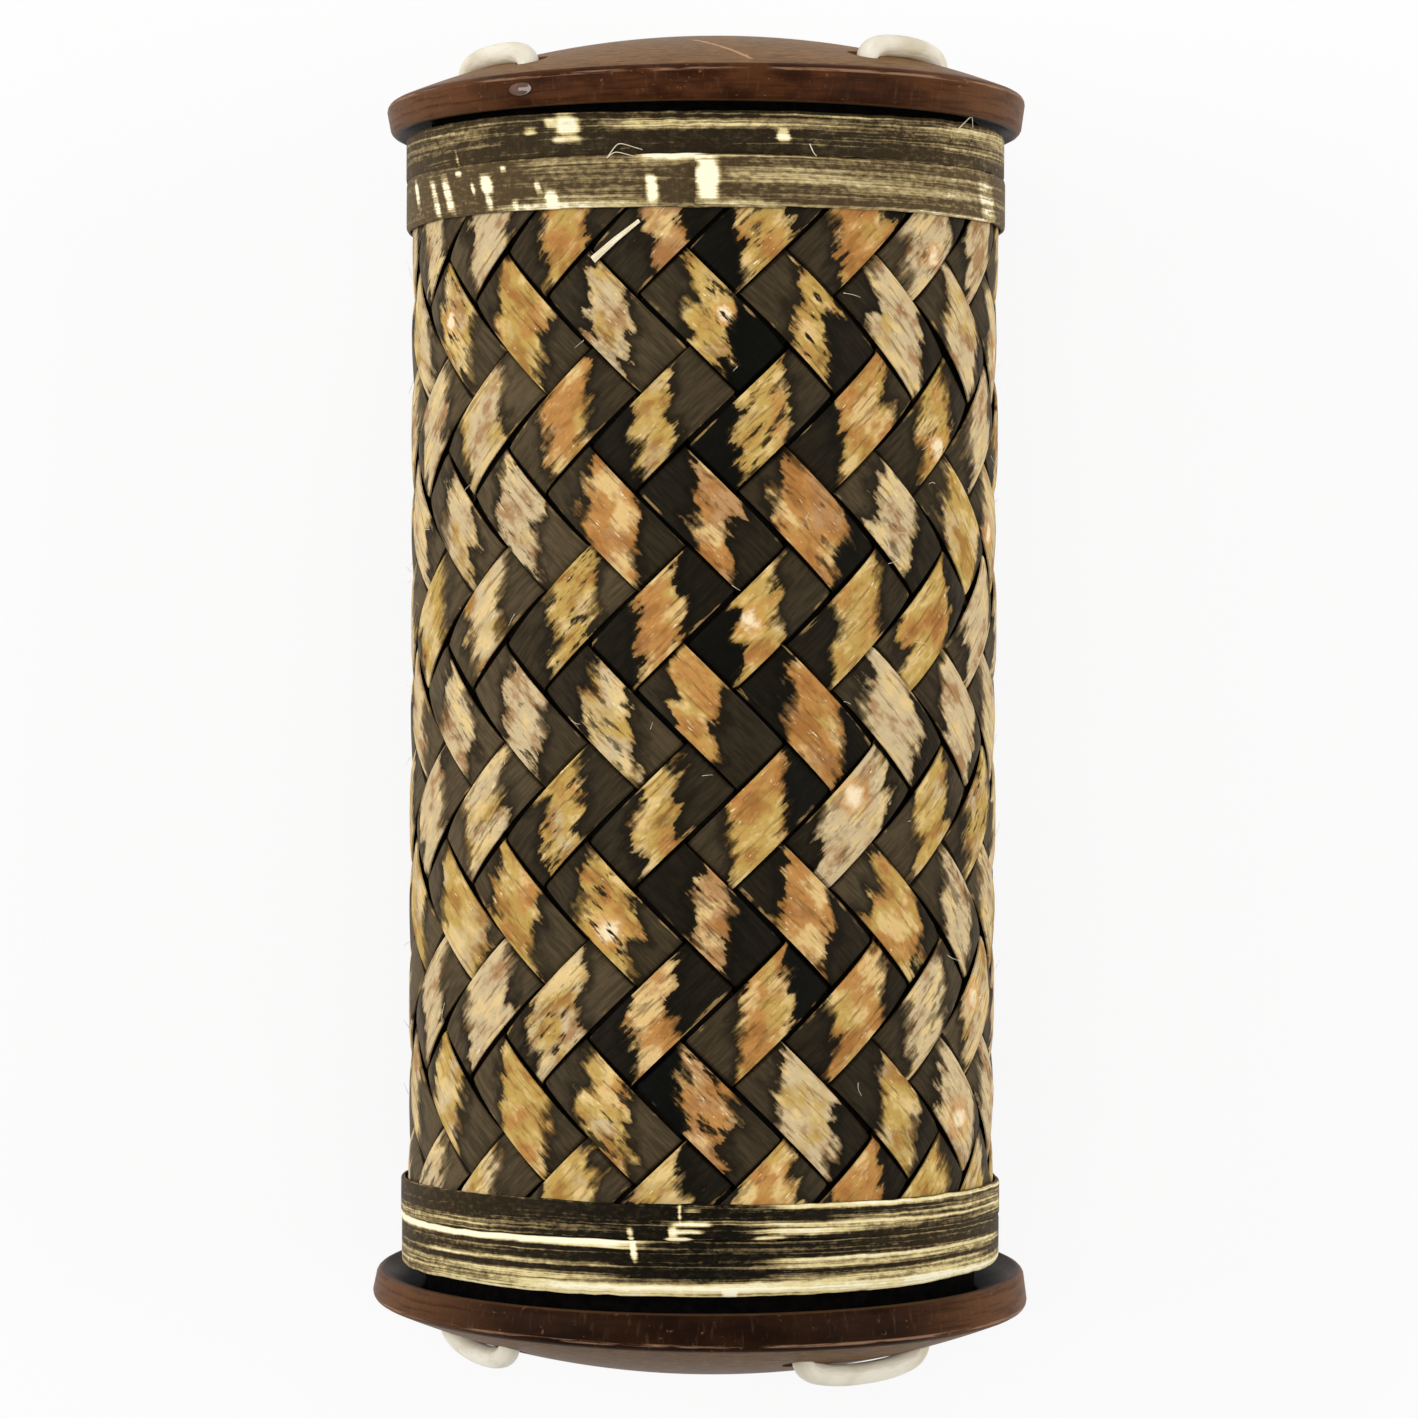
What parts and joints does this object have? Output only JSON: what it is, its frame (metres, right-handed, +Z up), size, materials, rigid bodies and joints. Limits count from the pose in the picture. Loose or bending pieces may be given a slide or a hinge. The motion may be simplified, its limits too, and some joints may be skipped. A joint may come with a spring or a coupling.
{
  "type": "tube shaker",
  "caption": "Hand-held tube shaker: a cylinder of flat strips woven in twill, closed by two domed coconut-shell caps laced on with white cord, with loose seeds rattling inside.",
  "frame": {"origin": "on the table under the middle of the whole length, the shaker lying on the rims of its two caps", "axes": "+Y along the tube towards the end at the top of the picture, +Z up from the table towards the pictured side, +X to the picture's right"},
  "size_m": [0.0652, 0.1328, 0.0652],
  "materials": {
    "coconut_shell": "polished",
    "woven_strip": "rubbed",
    "binding_strip": "rubbed",
    "white_cord": "matte",
    "liner_board": "matte",
    "dried_seed": "satin"
  },
  "bodies": {
    "shaker": {"liner_tube": "liner_board", "top_cap": "coconut_shell", "bottom_cap": "coconut_shell", "rising_strip_01": "woven_strip", "falling_strip_01": "woven_strip", "rising_strip_02": "woven_strip", "falling_strip_02": "woven_strip", "rising_strip_03": "woven_strip", "falling_strip_03": "woven_strip", "rising_strip_04": "woven_strip", "falling_strip_04": "woven_strip", "rising_strip_05": "woven_strip", "falling_strip_05": "woven_strip", "rising_strip_06": "woven_strip", "falling_strip_06": "woven_strip", "rising_strip_07": "woven_strip", "falling_strip_07": "woven_strip", "rising_strip_08": "woven_strip", "falling_strip_08": "woven_strip", "rising_strip_09": "woven_strip", "falling_strip_09": "woven_strip", "rising_strip_10": "woven_strip", "falling_strip_10": "woven_strip", "rising_strip_11": "woven_strip", "falling_strip_11": "woven_strip", "rising_strip_12": "woven_strip", "falling_strip_12": "woven_strip", "rising_strip_13": "woven_strip", "falling_strip_13": "woven_strip", "rising_strip_14": "woven_strip", "falling_strip_14": "woven_strip", "rising_strip_15": "woven_strip", "falling_strip_15": "woven_strip", "rising_strip_16": "woven_strip", "falling_strip_16": "woven_strip", "rising_strip_17": "woven_strip", "falling_strip_17": "woven_strip", "rising_strip_18": "woven_strip", "falling_strip_18": "woven_strip", "rising_strip_19": "woven_strip", "falling_strip_19": "woven_strip", "top_band_narrow": "binding_strip", "top_band_wide": "binding_strip", "bottom_band_wide": "binding_strip", "bottom_band_narrow": "binding_strip", "lashing_left": "white_cord", "lashing_right": "white_cord", "lashing_back": "white_cord"},
    "seed_01": {"seed_01": "dried_seed"},
    "seed_02": {"seed_02": "dried_seed"},
    "seed_03": {"seed_03": "dried_seed"},
    "seed_04": {"seed_04": "dried_seed"},
    "seed_05": {"seed_05": "dried_seed"},
    "seed_06": {"seed_06": "dried_seed"},
    "seed_07": {"seed_07": "dried_seed"},
    "seed_08": {"seed_08": "dried_seed"},
    "seed_09": {"seed_09": "dried_seed"},
    "seed_10": {"seed_10": "dried_seed"},
    "seed_11": {"seed_11": "dried_seed"},
    "seed_12": {"seed_12": "dried_seed"}
  },
  "joints": [
    {"name": "seed_01_rattle", "type": "slide", "parent": "shaker", "child": "seed_01", "axis": [0, 1, 0], "range_m": [-0.054, 0.054]},
    {"name": "seed_02_rattle", "type": "slide", "parent": "shaker", "child": "seed_02", "axis": [0, 1, 0], "range_m": [-0.054, 0.054]},
    {"name": "seed_03_rattle", "type": "slide", "parent": "shaker", "child": "seed_03", "axis": [0, 1, 0], "range_m": [-0.054, 0.034]},
    {"name": "seed_04_rattle", "type": "slide", "parent": "shaker", "child": "seed_04", "axis": [0, 1, 0], "range_m": [-0.054, 0.054]},
    {"name": "seed_05_rattle", "type": "slide", "parent": "shaker", "child": "seed_05", "axis": [0, 1, 0], "range_m": [-0.054, 0.034]},
    {"name": "seed_06_rattle", "type": "slide", "parent": "shaker", "child": "seed_06", "axis": [0, 1, 0], "range_m": [-0.054, 0.054]},
    {"name": "seed_07_rattle", "type": "slide", "parent": "shaker", "child": "seed_07", "axis": [0, 1, 0], "range_m": [-0.054, 0.054]},
    {"name": "seed_08_rattle", "type": "slide", "parent": "shaker", "child": "seed_08", "axis": [0, 1, 0], "range_m": [-0.054, 0.054]},
    {"name": "seed_09_rattle", "type": "slide", "parent": "shaker", "child": "seed_09", "axis": [0, 1, 0], "range_m": [-0.054, 0.034]},
    {"name": "seed_10_rattle", "type": "slide", "parent": "shaker", "child": "seed_10", "axis": [0, 1, 0], "range_m": [-0.054, 0.054]},
    {"name": "seed_11_rattle", "type": "slide", "parent": "shaker", "child": "seed_11", "axis": [0, 1, 0], "range_m": [-0.054, 0.034]},
    {"name": "seed_12_rattle", "type": "slide", "parent": "shaker", "child": "seed_12", "axis": [0, 1, 0], "range_m": [-0.054, 0.054]}
  ]
}
